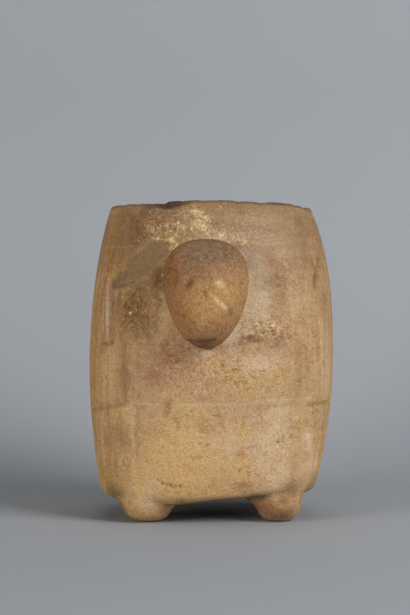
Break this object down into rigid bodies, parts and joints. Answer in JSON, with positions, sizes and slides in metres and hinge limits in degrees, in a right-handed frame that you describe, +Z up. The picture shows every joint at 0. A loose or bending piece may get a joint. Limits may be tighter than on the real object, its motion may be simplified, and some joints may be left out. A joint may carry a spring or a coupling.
{
  "type": "four-footed effigy vase",
  "caption": "Barrel-shaped carved stone vase on short corner feet, with a worn animal's head standing out of the front wall and bent limbs in low relief.",
  "frame": {"origin": "on the surface the vase stands on, at the middle of its bounding box in plan", "axes": "+Z up along the vessel, the animal's head faces -Y, +X to the viewer's right when facing the head"},
  "size_m": [0.1422, 0.1529, 0.18],
  "materials": {
    "stone": "worn, fine-grained buff limestone, dry and matt, with brown stains and pale crust"
  },
  "bodies": {
    "root": {"vase": "stone"}
  },
  "joints": []
}
